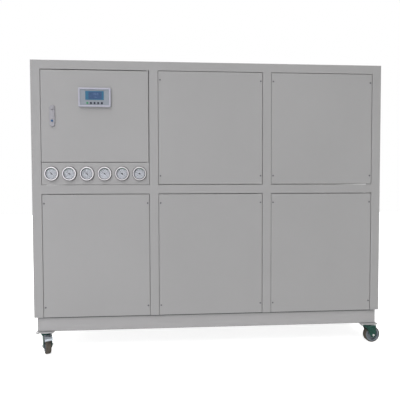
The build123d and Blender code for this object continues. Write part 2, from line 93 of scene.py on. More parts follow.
scene.view_settings.view_transform = "Standard"
world = bpy.data.worlds.new("studio")
world.use_nodes = True
scene.world = world
tree = world.node_tree
tree.nodes.clear()
out = tree.nodes.new("ShaderNodeOutputWorld")
ambient = tree.nodes.new("ShaderNodeBackground")
ambient.inputs["Strength"].default_value = world_light
ambient.inputs["Color"].default_value = world_colour
white = tree.nodes.new("ShaderNodeBackground")
white.inputs["Color"].default_value = pure_white
path = tree.nodes.new("ShaderNodeLightPath")
seen = tree.nodes.new("ShaderNodeMath")
seen.operation = "MAXIMUM"
seen_glass = tree.nodes.new("ShaderNodeMath")
seen_glass.operation = "MAXIMUM"
pick = tree.nodes.new("ShaderNodeMixShader")
tree.links.new(path.outputs["Is Camera Ray"], seen.inputs[0])
tree.links.new(path.outputs["Is Glossy Ray"], seen.inputs[1])
tree.links.new(seen.outputs[0], seen_glass.inputs[0])
tree.links.new(path.outputs["Is Transmission Ray"], seen_glass.inputs[1])
tree.links.new(seen_glass.outputs[0], pick.inputs["Fac"])
tree.links.new(ambient.outputs[0], pick.inputs[1])
tree.links.new(white.outputs[0], pick.inputs[2])
tree.links.new(pick.outputs[0], out.inputs["Surface"])
print("world light", world_light)

# %% [markdown]
# Three lamps do the rest: a wide soft light from above the front, a weak one low at the left, and
# a soft one from behind, so that the back isn't dark. The top light is steep. The body throws a
# soft shadow on the base under it, and the white floor lights the lower panels a little more than
# the upper ones. The side lamp is slightly cool, which the grey paint shows from left to right,
# and it is wide, so that the gauges' bezels mirror it evenly.

# %% Lamps
sun_spread = math.radians(50)
top_strength = 2.15
top_from = Vector((-1.35, -2.7, 5.1))
back_strength = 1.3
back_from = Vector((-2.4, 3.0, 2.4))
side_power = 42.0
side_size = 3.2
side_colour = (0.90, 0.88, 1.0)
side_from = Vector((-2.4, -4.6, 0.35))
side_aim = Vector((0.0, 0.0, 0.4))


def add_lamp(name, kind, place, target):
    """A lamp that points from its place to a target."""
    lamp = bpy.data.lights.new(name, kind)
    holder = bpy.data.objects.new(name, lamp)
    holder.location = place
    holder.rotation_mode = "QUATERNION"
    holder.rotation_quaternion = (target - place).to_track_quat("-Z", "Y")
    scene.collection.objects.link(holder)
    return lamp


for name, strength, place in (("top_light", top_strength, top_from),
                              ("back_light", back_strength, back_from)):
    sun = add_lamp(name, "SUN", place, Vector((0.0, 0.0, 0.0)))
    sun.energy = strength
    sun.angle = sun_spread
side = add_lamp("side_light", "AREA", side_from, side_aim)
side.shape = "SQUARE"
side.size = side_size
side.energy = side_power
side.color = side_colour
print("top light", top_strength, "back light", back_strength, "side lamp", side_power, "W")

# %% [markdown]
# The floor is one plain plane. To a camera ray it is partly white by itself and partly a lit
# matt surface, so it reads as white paper and still keeps the shadow under the machine.

# %% Floor
floor_half = 12.0
floor_grey = (0.85, 0.85, 0.85, 1.0)
floor_own_white = 0.85

bm = bmesh.new()
bmesh.ops.create_grid(bm, x_segments=1, y_segments=1, size=floor_half)
floor_mesh = bpy.data.meshes.new("floor")
bm.to_mesh(floor_mesh)
bm.free()
floor = bpy.data.objects.new("floor", floor_mesh)
scene.collection.objects.link(floor)

floor_paint = bpy.data.materials.new("studio_floor")
floor_paint.use_nodes = True
tree = floor_paint.node_tree
tree.nodes.clear()
out = tree.nodes.new("ShaderNodeOutputMaterial")
matt = tree.nodes.new("ShaderNodeBsdfDiffuse")
matt.inputs["Color"].default_value = floor_grey
own = tree.nodes.new("ShaderNodeEmission")
own.inputs["Color"].default_value = pure_white
path = tree.nodes.new("ShaderNodeLightPath")
glow = tree.nodes.new("ShaderNodeMath")
glow.operation = "MULTIPLY"
glow.inputs[1].default_value = floor_own_white
total = tree.nodes.new("ShaderNodeAddShader")
tree.links.new(path.outputs["Is Camera Ray"], glow.inputs[0])
tree.links.new(glow.outputs[0], own.inputs["Strength"])
tree.links.new(matt.outputs[0], total.inputs[0])
tree.links.new(own.outputs[0], total.inputs[1])
tree.links.new(total.outputs[0], out.inputs["Surface"])
floor_mesh.materials.append(floor_paint)
print("floor", 2 * floor_half, "m wide")

# %% [markdown]
# A finish belongs to the nodes of the construction that wear it, and sometimes to pieces that are
# added later. It is a small node tree on object coordinates, so its pattern sits in the metal and
# doesn't slide when a door opens.

# %% Start a finish and put it on
def start_finish(name):
    """A new material with its shader and the object coordinates that its patterns read."""
    material = bpy.data.materials.new(name)
    material.use_nodes = True
    tree = material.node_tree
    shader = tree.nodes["Principled BSDF"]
    coords = tree.nodes.new("ShaderNodeTexCoord")
    return material, tree, shader, coords.outputs["Object"]


def finish_nodes(material, *names):
    """Put a finish on CAD nodes."""
    for name in names:
        for slot in nodes[name].material_slots:
            slot.material = material
    print(material.name, "on", len(names), "nodes")


# %% [markdown]
# No real surface is one flat colour. A noise gives the unevenness, and these helpers turn it into
# a colour, a number or a relief. A noise stays near the middle of its range, so a colour ramp or
# a range of numbers is spread over that middle part only.

# %% Patterns from noise
ramp_low, ramp_high = 0.35, 0.65
noise_low, noise_high = 0.3, 0.7
grain_scale = 900.0
grain_depth = 0.1 * MM


def add_noise(tree, coords, scale, detail=2.0):
    """Noise of a scale per metre."""
    noise = tree.nodes.new("ShaderNodeTexNoise")
    noise.inputs["Scale"].default_value = scale
    noise.inputs["Detail"].default_value = detail
    tree.links.new(coords, noise.inputs["Vector"])
    return noise.outputs["Fac"]


def shade(colour, factor):
    """A colour made lighter or darker, with full alpha."""
    return tuple(min(1.0, channel * factor) for channel in colour) + (1.0,)


def add_ramp(tree, value, colour, tone):
    """A noise turned into a colour, from a little darker to a little lighter."""
    ramp = tree.nodes.new("ShaderNodeValToRGB")
    dark, light = ramp.color_ramp.elements
    dark.position, dark.color = ramp_low, shade(colour, 1 - tone)
    light.position, light.color = ramp_high, shade(colour, 1 + tone)
    tree.links.new(value, ramp.inputs["Fac"])
    return ramp.outputs["Color"]


def add_range(tree, value, low, high):
    """A noise turned into a range of numbers."""
    spread = tree.nodes.new("ShaderNodeMapRange")
    spread.inputs["From Min"].default_value = noise_low
    spread.inputs["From Max"].default_value = noise_high
    spread.inputs["To Min"].default_value = low
    spread.inputs["To Max"].default_value = high
    tree.links.new(value, spread.inputs["Value"])
    return spread.outputs["Result"]


def add_grain(tree, shader, coords, strength):
    """The fine relief of a sprayed, plated or moulded surface."""
    bump = tree.nodes.new("ShaderNodeBump")
    bump.inputs["Distance"].default_value = grain_depth
    bump.inputs["Strength"].default_value = strength
    tree.links.new(add_noise(tree, coords, grain_scale), bump.inputs["Height"])
    tree.links.new(bump.outputs["Normal"], shader.inputs["Normal"])


# %% [markdown]
# Most surfaces here are one coating or one material all over, so one function makes them. A slow
# noise drives the uneven tone that all real coatings have, a quicker one varies the gloss, and a
# very fine one gives the grain as relief.

# %% Coatings
tone_detail = 3.0
gloss_spread = 0.12
gloss_scale = 20


def coating(name, colour, roughness, metallic=0.0, tone=0.02, tone_scale=1.5, grain=0.3):
    """A finish with uneven tone, uneven gloss and a fine grain."""
    material, tree, shader, coords = start_finish(name)
    shader.inputs["Metallic"].default_value = metallic
    tones = add_noise(tree, coords, tone_scale, tone_detail)
    tree.links.new(add_ramp(tree, tones, colour, tone), shader.inputs["Base Color"])
    gloss = add_noise(tree, coords, tone_scale * gloss_scale)
    tree.links.new(add_range(tree, gloss, roughness * (1 - gloss_spread),
                             roughness * (1 + gloss_spread)), shader.inputs["Roughness"])
    add_grain(tree, shader, coords, grain)
    return material


# %% [markdown]
# The cabinet is bent sheet under a light warm grey powder coat. Powder flows out a little as it
# bakes, so the coat has a very fine grain, a dull gloss and almost no change of tone. One finish
# serves all the panels and rails. The base frame has the same paint made a little lighter, which
# is painted light: it stands for the light that the white floor throws up onto the low base.

# %% Cabinet paint
powder = coating("powder_coat", (0.395, 0.392, 0.392), 0.52)
# Painted light: the base's copy of the powder coat is lighter, for the light the floor throws up
# on it.
base_powder_painted_light = coating("base_powder_coat_painted_light", (0.435, 0.43, 0.432), 0.52)
inner_paint = coating("inner_sheet_paint", (0.50, 0.50, 0.49), 0.5)
finish_nodes(powder, "corner_posts", "mullions", "top_rails", "mid_rails", "roof_panel",
             "lower_front_panels", "upper_front_panels", "gauge_panel", "back_panels",
             "side_panels", "door_panel")
finish_nodes(base_powder_painted_light, "base_rails_long", "base_rails_short", "base_cross_members")
finish_nodes(inner_paint, "control_box_sides", "control_box_top_and_floor",
             "control_box_back", "mounting_plate")

# %% [markdown]
# The bare and plated metals come next. A metal gets its look from what it mirrors, so its
# roughness matters more than its colour. The lock's satin lacquer and the casters' plated plates
# mirror little, so they are only partly metal. The fork's dark green plating is between the two.

# %% Metals
zinc = coating("zinc_plate", (0.56, 0.56, 0.55), 0.34, metallic=1.0, tone=0.08, tone_scale=30.0)
chrome = coating("bezel_chrome", (0.54, 0.53, 0.53), 0.30, metallic=1.0, tone=0.03,
                 tone_scale=30.0, grain=0.02)
satin = coating("satin_lock", (0.35, 0.345, 0.37), 0.42, metallic=0.25, tone=0.05, tone_scale=60.0)
brass = coating("port_brass", (0.58, 0.42, 0.16), 0.3, metallic=1.0, tone=0.08, tone_scale=40.0)
plate_zinc = coating("plate_zinc", (0.42, 0.42, 0.42), 0.42, metallic=0.2, tone=0.05,
                     tone_scale=60.0)
fork_green = coating("fork_green", (0.018, 0.080, 0.060), 0.27, metallic=0.5, tone=0.2,
                     tone_scale=40.0)

corners = ("front_left", "front_right", "back_left", "back_right")
finish_nodes(zinc, "floor_pan", "din_rails", "hinge_pins")
finish_nodes(chrome, "gauge_bezels")
finish_nodes(satin, "lock_plate", "lock_lever")
finish_nodes(brass, "water_ports")
finish_nodes(plate_zinc, "caster_plates")
finish_nodes(fork_green, *(f"caster_fork_{corner}" for corner in corners))

# %% [markdown]
# The plastics and the rubber are the other way round: their colour is their own and hides what
# little they mirror. Every one keeps a little uneven tone, at the scale of the piece that wears
# it. The treads are the roughest, and brownish from the floor.

# %% Plastics and rubber
case_black = coating("case_black", (0.03, 0.03, 0.032), 0.45, tone_scale=40.0)
dial_white = coating("dial_white", (0.46, 0.47, 0.51), 0.5, tone_scale=40.0)
pointer_black = coating("pointer_black", (0.02, 0.02, 0.02), 0.4, tone_scale=60.0)
display_blue = coating("display_blue", (0.030, 0.150, 0.260), 0.25, tone_scale=40.0)
button_blue = coating("button_blue", (0.02, 0.11, 0.25), 0.35, tone_scale=60.0)
breaker_grey = coating("breaker_grey", (0.62, 0.62, 0.60), 0.45, tone_scale=40.0)
contactor_black = coating("contactor_black", (0.035, 0.035, 0.038), 0.45, tone_scale=40.0)
duct_grey = coating("duct_grey", (0.27, 0.28, 0.29), 0.5, tone_scale=20.0)
hub_grey = coating("hub_grey", (0.20, 0.23, 0.26), 0.36, tone=0.06, tone_scale=60.0)
tread = coating("tyre_tread", (0.095, 0.082, 0.066), 0.7, tone=0.12, tone_scale=60.0)

finish_nodes(case_black, "gauge_cases", "cable_gland")
finish_nodes(dial_white, "gauge_dials")
finish_nodes(pointer_black, "gauge_pointers")
finish_nodes(display_blue, "controller_display")
finish_nodes(button_blue, "lock_button")
finish_nodes(breaker_grey, "breakers")
finish_nodes(contactor_black, "contactors")
finish_nodes(duct_grey, "wiring_ducts")
finish_nodes(hub_grey, *(f"caster_hub_{corner}" for corner in corners))
finish_nodes(tread, *(f"caster_tyre_{corner}" for corner in corners))

# %% [markdown]
# The controller's moulding has a pale lavender rim round a greyer sunk face, and the first of its
# five round keys is green. Both are one solid each, so the colour is chosen by place. A step on
# the object's own coordinates parts it, just behind the rim's front or right of the first key.

# %% Controller plastics
rim_depth = 2.0 * MM
first_key_width = 17.0 * MM
moulding_tone = 0.03
moulding_gloss_spread = 0.1
moulding_noise = 60.0
moulding_grain = 0.2


def two_tone(name, first, second, axis, limit, roughness, specular):
    """A plastic with one colour below a limit on an axis and another above it."""
    material, tree, shader, coords = start_finish(name)
    split = tree.nodes.new("ShaderNodeSeparateXYZ")
    above = tree.nodes.new("ShaderNodeMath")
    above.operation = "GREATER_THAN"
    above.inputs[1].default_value = limit
    tree.links.new(coords, split.inputs["Vector"])
    tree.links.new(split.outputs[axis], above.inputs[0])
    pick = tree.nodes.new("ShaderNodeMix")
    pick.data_type = "RGBA"
    tones = add_noise(tree, coords, moulding_noise)
    tree.links.new(above.outputs[0], pick.inputs["Factor"])
    tree.links.new(add_ramp(tree, tones, first, moulding_tone), pick.inputs["A"])
    tree.links.new(add_ramp(tree, tones, second, moulding_tone), pick.inputs["B"])
    tree.links.new(pick.outputs["Result"], shader.inputs["Base Color"])
    tree.links.new(add_range(tree, tones, roughness * (1 - moulding_gloss_spread),
                             roughness * (1 + moulding_gloss_spread)),
                   shader.inputs["Roughness"])
    shader.inputs["Specular IOR Level"].default_value = specular
    add_grain(tree, shader, coords, moulding_grain)
    return material


rim_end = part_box("controller_housing")[0][1] + rim_depth
first_key_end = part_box("controller_keys")[0][0] + first_key_width
controller_plastic = two_tone("controller_plastic", (0.50, 0.50, 0.58), (0.31, 0.34, 0.385), "Y",
                              rim_end, 0.45, 0.4)
key_plastic = two_tone("key_plastic", (0.06, 0.30, 0.14), (0.006, 0.008, 0.025), "X",
                       first_key_end, 0.5, 0.2)
finish_nodes(controller_plastic, "controller_housing")
finish_nodes(key_plastic, "controller_keys")

# %% [markdown]
# Gauge windows are clear plastic. A full glass bends the view of the dial and goes dark at its
# rim, so the index of refraction is kept low, and a little roughness keeps it from a mirror.

# %% Gauge glass
glass_tint = (0.96, 0.97, 0.97, 1.0)
glass_index = 1.12
glass_roughness = (0.02, 0.06)

glass, tree, shader, coords = start_finish("gauge_glass")
shader.inputs["Base Color"].default_value = glass_tint
shader.inputs["Transmission Weight"].default_value = 1.0
shader.inputs["IOR"].default_value = glass_index
gloss = add_noise(tree, coords, moulding_noise)
tree.links.new(add_range(tree, gloss, *glass_roughness), shader.inputs["Roughness"])
finish_nodes(glass, "gauge_lenses")

# %% [markdown]
# The added hardware has its own few finishes. Screw heads are plain dark steel, and nuts, bolts
# and pedals are bright zinc. The printing on the dials is dark ink with a green band, and the
# controller's readout is a paler blue on a dark one. The door seal and the gaskets are rubber. The
# door seal's dark rubber also paints the shade under the body's lower edge.

# %% Finishes for the added pieces
screw_steel = coating("screw_steel", (0.16, 0.16, 0.17), 0.38, metallic=0.6, tone=0.1,
                      tone_scale=200.0)
bolt_steel = coating("bolt_steel", (0.72, 0.72, 0.72), 0.26, metallic=1.0, tone=0.06,
                     tone_scale=150.0)
pedal_zinc = coating("pedal_zinc", (0.56, 0.61, 0.66), 0.25, metallic=1.0, tone=0.08,
                     tone_scale=60.0)
ink = coating("dial_ink", (0.03, 0.03, 0.035), 0.5, tone_scale=200.0)
band_green = coating("dial_band", (0.06, 0.22, 0.10), 0.5, tone_scale=200.0)
field_blue = coating("display_field", (0.035, 0.085, 0.20), 0.25, tone=0.1, tone_scale=80.0)
readout_pale = coating("display_readout", (0.10, 0.18, 0.34), 0.4, tone_scale=80.0)
# The seal rubber also serves as painted shade: the dark strip under the body's lower edge.
seal_rubber_and_painted_shade = coating("seal_rubber_and_painted_shade", (0.075, 0.090, 0.085), 0.6, tone_scale=60.0)
gasket_black = coating("gasket_black", (0.02, 0.02, 0.022), 0.5, tone_scale=60.0)
added = (screw_steel, bolt_steel, pedal_zinc, ink, band_green, field_blue, readout_pale,
         seal_rubber_and_painted_shade, gasket_black)
print("finishes for added pieces:", ", ".join(material.name for material in added))

# %% [markdown]
# Small hardware is turned, pressed or cut, so each piece below starts as one bmesh shape. A
# finished bmesh goes through one function: it makes the object, gives it its finish, ties it to
# the body that carries it, and prints how many faces it has.

# %% Finish a new piece
def finish_piece(name, bm, material, body):
    """A bmesh made an object that rides on a body and takes a slot's finish."""
    bmesh.ops.recalc_face_normals(bm, faces=bm.faces)
    mesh = bpy.data.meshes.new(name)
    bm.to_mesh(mesh)
    bm.free()
    mesh.materials.append(material)
    piece = bpy.data.objects.new(name, mesh)
    scene.collection.objects.link(piece)
    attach(piece, body)
    print(name, "on", body, "with", len(mesh.polygons), "faces")
    return piece


# %% [markdown]
# Two shapes serve most of the hardware. A disc is a cone with two equal ends whose outer rim is
# bevelled, and with six sides it is a nut. It is made along +Z and then turned to where it
# points. A plate is a cube stretched to its size, with its edges bevelled. An operator can
# replace the vertices that it works on, so a function that needs them afterwards looks for
# those that weren't there before it began.

# %% Discs and plates
turned_sides = 20
nut_sides = 6


def made_since(bm, before):
    """The vertices that a bmesh has gained since a set of its vertices was taken."""
    return [v for v in bm.verts if v not in before]


def round_edges(bm, edges, width, steps=2):
    """Edges bevelled round."""
    bmesh.ops.bevel(bm, geom=edges, offset=width, segments=steps, profile=0.5,
                    affect="EDGES", material=-1)


def standing(place, direction):
    """The move that stands a shape made along +Z on a place, pointing in a direction."""
    turn = Vector(direction).to_track_quat("Z", "Y").to_matrix().to_4x4()
    return Matrix.Translation(place) @ turn


def turn_disc(bm, radius, height, edge, sides, steps=2):
    """A disc that stands on the origin, with its upper rim bevelled."""
    verts = bmesh.ops.create_cone(bm, cap_ends=True, segments=sides, radius1=radius,
                                  radius2=radius, depth=height,
                                  matrix=Matrix.Translation((0, 0, height / 2)))["verts"]
    rim = [e for e in {e for v in verts for e in v.link_edges}
           if all(v.co.z > height / 2 for v in e.verts)]
    round_edges(bm, rim, edge, steps)


def add_disc(bm, place, direction, radius, height, edge, sides=turned_sides):
    """A turned disc or a nut that stands on its place."""
    before = set(bm.verts)
    turn_disc(bm, radius, height, edge, sides)
    bmesh.ops.transform(bm, matrix=standing(place, direction), verts=made_since(bm, before))


def add_plate(bm, centre, size, edge=0.0):
    """A plate or bar of a stated size round its centre, with its edges bevelled if asked."""
    before = set(bm.verts) if edge else None
    shape = Matrix.Translation(centre) @ Matrix.Diagonal((*size, 1.0))
    verts = bmesh.ops.create_cube(bm, size=1.0, matrix=shape)["verts"]
    if not edge:
        return verts
    round_edges(bm, list({e for v in verts for e in v.link_edges}), edge)
    return made_since(bm, before)


# %% [markdown]
# Each fixed panel is held by four button-head screws. A real head is turned from wire: a low
# dome with a hole for the key. Here it is a disc with a wide bevel, whose top face is inset to
# the size of the key and pushed in. The hole is left round, because its six sides don't show at
# this size.

# %% Screw head
screw_radius = 5.2 * MM
screw_height = 2.8 * MM
screw_dome = 1.96 * MM
screw_dome_steps = 3
screw_sides = 18
socket_radius = 2.2 * MM
socket_depth = 1.4 * MM


def add_screw(bm, place, direction):
    """A button-head screw: a domed disc with a socket sunk in its top."""
    before = set(bm.verts)
    turn_disc(bm, screw_radius, screw_height, screw_dome, screw_sides, screw_dome_steps)
    faces = {f for v in made_since(bm, before) for f in v.link_faces}
    top = [max(faces, key=lambda f: f.calc_center_median().z)]
    top_radius = max(v.co.to_2d().length for v in top[0].verts)
    bmesh.ops.inset_individual(bm, faces=top, thickness=top_radius - socket_radius)
    hole = bmesh.ops.extrude_discrete_faces(bm, faces=top)["faces"]
    bmesh.ops.translate(bm, verts=list(hole[0].verts), vec=(0, 0, -socket_depth))
    bmesh.ops.transform(bm, matrix=standing(place, direction), verts=made_since(bm, before))


# %% [markdown]
# The screws stand a little in from each corner of a bay, on the front and on the back. The first
# upper bay of the front has the door and the gauges, so it has none. A side panel has three
# columns of them.

# %% Panel screws
bay_width = 0.659667
bay_pitch = 0.713667
upper_bay = (1.0495, 1.7565)
lower_bay = (0.228, 0.995)
screw_from_bay_edge = 13.5 * MM
screw_from_side_edge = 12.0 * MM
screw_from_upper_end = 56.5 * MM
screw_from_lower_top = 59.0 * MM
screw_from_lower_bottom = 62.5 * MM
upper_rows = (upper_bay[0] + screw_from_upper_end, upper_bay[1] - screw_from_upper_end)
lower_rows = (lower_bay[0] + screw_from_lower_bottom, lower_bay[1] - screw_from_lower_top)


def add_bay_screws(bm, y, direction, first_upper):
    """The screws of the three bays on one face, with or without the first upper bay's."""
    reach = bay_width / 2 - screw_from_bay_edge
    for bay in (-1, 0, 1):
        rows = upper_rows + lower_rows if first_upper or bay >= 0 else lower_rows
        for x in (bay * bay_pitch - reach, bay * bay_pitch + reach):
            for z in rows:
                add_screw(bm, (x, y, z), direction)


bm = bmesh.new()
add_bay_screws(bm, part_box("lower_front_panels")[0][1], (0, -1, 0), False)
finish_piece("front_panel_screws", bm, screw_steel, "cabinet")
bm = bmesh.new()
add_bay_screws(bm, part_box("back_panels")[1][1], (0, 1, 0), True)
finish_piece("back_panel_screws", bm, screw_steel, "cabinet")

side_low, side_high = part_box("side_panels")
side_reach = side_high[1] - screw_from_side_edge
bm = bmesh.new()
for x, way in ((side_low[0], -1), (side_high[0], 1)):
    for y in (-side_reach, 0.0, side_reach):
        for z in upper_rows + lower_rows:
            add_screw(bm, (x, y, z), (way, 0, 0))
finish_piece("side_panel_screws", bm, screw_steel, "cabinet")

# %% [markdown]
# A gauge dial is printed, but its marks are made as thin raised bars here, because a visible
# shape should be real geometry. One scale runs three quarters of a turn. A short bar is made at
# twelve o'clock and turned to its place, long for a main mark and short for the ones between.

# %% Gauge scales
gauge_count = 6
gauge_pitch = 107.0 * MM
gauge_xs = [-bay_pitch + (n - (gauge_count - 1) / 2) * gauge_pitch for n in range(gauge_count)]
gauge_z = 1.1195
dial_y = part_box("gauge_dials")[0][1]
mark_lift = 0.15 * MM
mark_outer = 29.5 * MM
main_mark_inner, main_mark_width = 23.5 * MM, 0.9 * MM
small_mark_inner, small_mark_width = 26.5 * MM, 0.45 * MM
main_marks = 11
marks_between = 4
scale_turn = math.radians(270)


def add_mark(bm, x, turn, inner, width):
    """One bar of a scale, turned from twelve o'clock to its place."""
    verts = add_plate(bm, (0, 0, (inner + mark_outer) / 2),
                      (width, 2 * mark_lift, mark_outer - inner))
    place = Matrix.Translation((x, dial_y, gauge_z)) @ Matrix.Rotation(turn, 4, "Y")
    bmesh.ops.transform(bm, matrix=place, verts=verts)


bm = bmesh.new()
steps = (main_marks - 1) * (marks_between + 1)
for x in gauge_xs:
    for step in range(steps + 1):
        turn = scale_turn * (step / steps - 0.5)
        if step % (marks_between + 1) == 0:
            add_mark(bm, x, turn, main_mark_inner, main_mark_width)
        else:
            add_mark(bm, x, turn, small_mark_inner, small_mark_width)
finish_piece("gauge_scale_marks", bm, ink, "cabinet")

# %% [markdown]
# A green band runs along the working range of each scale. It starts as one short upright edge,
# which is turned to the band's start and spun to its end. The flat bands are extruded together
# into the dial, so that they have a thickness.

# %% Gauge bands
band_inner, band_outer = 30.0 * MM, 31.8 * MM
band_start, band_end = math.radians(-60), math.radians(50)
band_steps = 14


def add_band(bm, x):
    """A flat coloured band round part of a scale."""
    before = set(bm.verts)
    ends = [bm.verts.new((0, 0, reach)) for reach in (band_inner, band_outer)]
    edge = bm.edges.new(ends)
    bmesh.ops.rotate(bm, cent=(0, 0, 0), matrix=Matrix.Rotation(band_start, 3, "Y"), verts=ends)
    bmesh.ops.spin(bm, geom=ends + [edge], cent=(0, 0, 0), axis=(0, 1, 0), dvec=(0, 0, 0),
                   angle=band_end - band_start, steps=band_steps, use_merge=False,
                   use_normal_flip=False, use_duplicate=False)
    bmesh.ops.translate(bm, verts=made_since(bm, before),
                        vec=(x, dial_y - mark_lift, gauge_z))


bm = bmesh.new()
for x in gauge_xs:
    add_band(bm, x)
grown = bmesh.ops.extrude_face_region(bm, geom=list(bm.faces))["geom"]
bmesh.ops.translate(bm, verts=[g for g in grown if isinstance(g, bmesh.types.BMVert)],
                    vec=(0, mark_lift, 0))
finish_piece("gauge_green_bands", bm, band_green, "cabinet")

# %% [markdown]
# Two thin black rings frame each gauge: a gasket under the window, just inside the bezel, and a
# wider one between the flange and the panel. A ring's section is a circle of eight points, moved
# out to the ring's radius. One full spin about the gauge's axis, with its ends merged, closes it.

# %% Gauge gaskets
window_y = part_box("gauge_lenses")[0][1]
panel_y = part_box("gauge_panel")[0][1]
gasket_wire = 1.5 * MM
gasket_wire_sides = 8
gasket_steps = 48
window_gasket_radius = 34.2 * MM
flange_gasket_radius = 43.6 * MM
flange_gasket_lift = 1.2 * MM


def add_ring(bm, x, y, radius):
    """A closed round ring about a gauge's axis."""
    before = set(bm.verts)
    section = bmesh.ops.create_circle(bm, segments=gasket_wire_sides, radius=gasket_wire)["verts"]
    bmesh.ops.translate(bm, verts=section, vec=(radius, 0, 0))
    edges = list({e for v in section for e in v.link_edges})
    bmesh.ops.spin(bm, geom=section + edges, cent=(0, 0, 0), axis=(0, 1, 0), dvec=(0, 0, 0),
                   angle=math.tau, steps=gasket_steps, use_merge=True, use_normal_flip=False,
                   use_duplicate=False)
    bmesh.ops.translate(bm, verts=made_since(bm, before), vec=(x, y, gauge_z))


bm = bmesh.new()
for x in gauge_xs:
    add_ring(bm, x, window_y, window_gasket_radius)
    add_ring(bm, x, panel_y - flange_gasket_lift, flange_gasket_radius)
finish_piece("gauge_gaskets", bm, gasket_black, "cabinet")

# %% [markdown]
# The body sits on the base frame. Under the sheet's lower edge runs a thin dark strip, which is
# painted shade: it stands for the shadow that the body's overhang throws on the base, and it is
# made as a strip of dark grey rubber. Four bars with bevelled edges, one to each side, make the
# strip.

# %% Painted shade strip under the body
rails_low, rails_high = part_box("base_rails_long")
ends_low, ends_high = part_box("base_rails_short")
# Painted shade: a dark strip under the body's edge, where the overhang's shadow falls on the base.
shade_strip_height = 7.0 * MM
shade_strip_proud = 2.0 * MM
shade_strip_from_end = 12.0 * MM
shade_strip_edge = 1.0 * MM
shade_strip_z = lower_bay[0] - shade_strip_height / 2
shade_strip_length = rails_high[0] - rails_low[0] - 2 * shade_strip_from_end
shade_strip_depth = ends_high[1] - ends_low[1]

bm = bmesh.new()
for y in (rails_low[1], rails_high[1]):
    add_plate(bm, (0, y, shade_strip_z),
              (shade_strip_length, 2 * shade_strip_proud, shade_strip_height), shade_strip_edge)
for x in (ends_low[0], ends_high[0]):
    add_plate(bm, (x, 0, shade_strip_z),
              (2 * shade_strip_proud, shade_strip_depth, shade_strip_height), shade_strip_edge)
finish_piece("painted_shade_strip", bm, seal_rubber_and_painted_shade, "cabinet")

# %% [markdown]
# The numbers go on as text, which Blender turns into a mesh. Each number is centred on its own
# place on the dial, stood up to face the front, and joined to the others in one piece.

# %% Gauge numbers
number_size = 6.0 * MM
number_ring = 18.5 * MM


def add_text(bm, words, place, size, thickness):
    """Upright text with some thickness, facing the front."""
    curve = bpy.data.curves.new("words", "FONT")
    curve.body = words
    curve.size = size
    curve.extrude = thickness / 2
    curve.align_x = "CENTER"
    curve.align_y = "CENTER"
    maker = bpy.data.objects.new("words", curve)
    mesh = bpy.data.meshes.new_from_object(maker)
    mesh.transform(Matrix.Translation(place) @ Matrix.Rotation(math.radians(90), 4, "X"))
    bm.from_mesh(mesh)
    bpy.data.objects.remove(maker)
    bpy.data.curves.remove(curve)
    bpy.data.meshes.remove(mesh)


bm = bmesh.new()
for x in gauge_xs:
    for number in range(0, main_marks, 2):
        turn = scale_turn * (number / (main_marks - 1) - 0.5)
        place = (x + number_ring * math.sin(turn), dial_y, gauge_z + number_ring * math.cos(turn))
        add_text(bm, str(number), place, number_size, 2 * mark_lift)
finish_piece("gauge_numbers", bm, ink, "cabinet")

# %% [markdown]
# The controller has a blue window with a darker field behind it and a pale readout. The field is
# one thin plate. The readout is two rows of plain numbers, a large one over a small one.

# %% Controller readout
display_low, display_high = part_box("controller_display")
display_x = (display_low[0] + display_high[0]) / 2
display_y = display_low[1]
display_z = (display_low[2] + display_high[2]) / 2
field_shift = 4.0 * MM
field_size = (80.0 * MM, 0.4 * MM, 44.0 * MM)
field_edge = 0.1 * MM
readout_shift = 8.0 * MM
readout_thickness = 0.3 * MM
readout_rows = ((8.0 * MM, 18.0 * MM), (-12.0 * MM, 9.0 * MM))

bm = bmesh.new()
add_plate(bm, (display_x + field_shift, display_y, display_z), field_size, field_edge)
finish_piece("display_field", bm, field_blue, "door")
bm = bmesh.new()
for rise, size in readout_rows:
    place = (display_x + readout_shift, display_y - readout_thickness, display_z + rise)
    add_text(bm, "20.0", place, size, readout_thickness)
finish_piece("display_numbers", bm, readout_pale, "door")

# %% [markdown]
# The door closes on a foam seal, a soft strip that runs round its inner face just inside the
# frame's opening. It is four square bars with rounded edges, and shows when the door is open.

# %% Door seal
door_low, door_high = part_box("door_panel")
door_seal_inset = 34.0 * MM
door_seal_width = 9.0 * MM
door_seal_depth = 5.0 * MM
door_seal_edge = 1.5 * MM
door_seal_y = -0.4965
seal_left, seal_right = door_low[0] + door_seal_inset, door_high[0] - door_seal_inset
seal_foot, seal_head = door_low[2] + door_seal_inset, door_high[2] - door_seal_inset

bm = bmesh.new()
for z in (seal_foot, seal_head):
    add_plate(bm, ((seal_left + seal_right) / 2, door_seal_y, z),
              (seal_right - seal_left + door_seal_width, door_seal_depth, door_seal_width),
              door_seal_edge)
for x in (seal_left, seal_right):
    add_plate(bm, (x, door_seal_y, (seal_foot + seal_head) / 2),
              (door_seal_width, door_seal_depth, seal_head - seal_foot - door_seal_width),
              door_seal_edge)
finish_piece("door_seal", bm, seal_rubber_and_painted_shade, "door")

# %% [markdown]
# Each caster is bolted up through the four corners of its plate. From below a bolt shows as a
# washer with a six-sided head under it, which is a disc with six sides.

# %% Caster bolts
caster_places = {"front_left": (-1.040, -0.455), "front_right": (1.040, -0.455),
                 "back_left": (-1.040, 0.455), "back_right": (1.040, 0.455)}
plate_underside = 131.0 * MM
bolt_in_x, bolt_in_y = 43.0 * MM, 37.0 * MM
washer_radius, washer_height, washer_edge = 9.0 * MM, 1.4 * MM, 0.3 * MM
head_radius, head_height, head_edge = 7.5 * MM, 5.5 * MM, 0.8 * MM

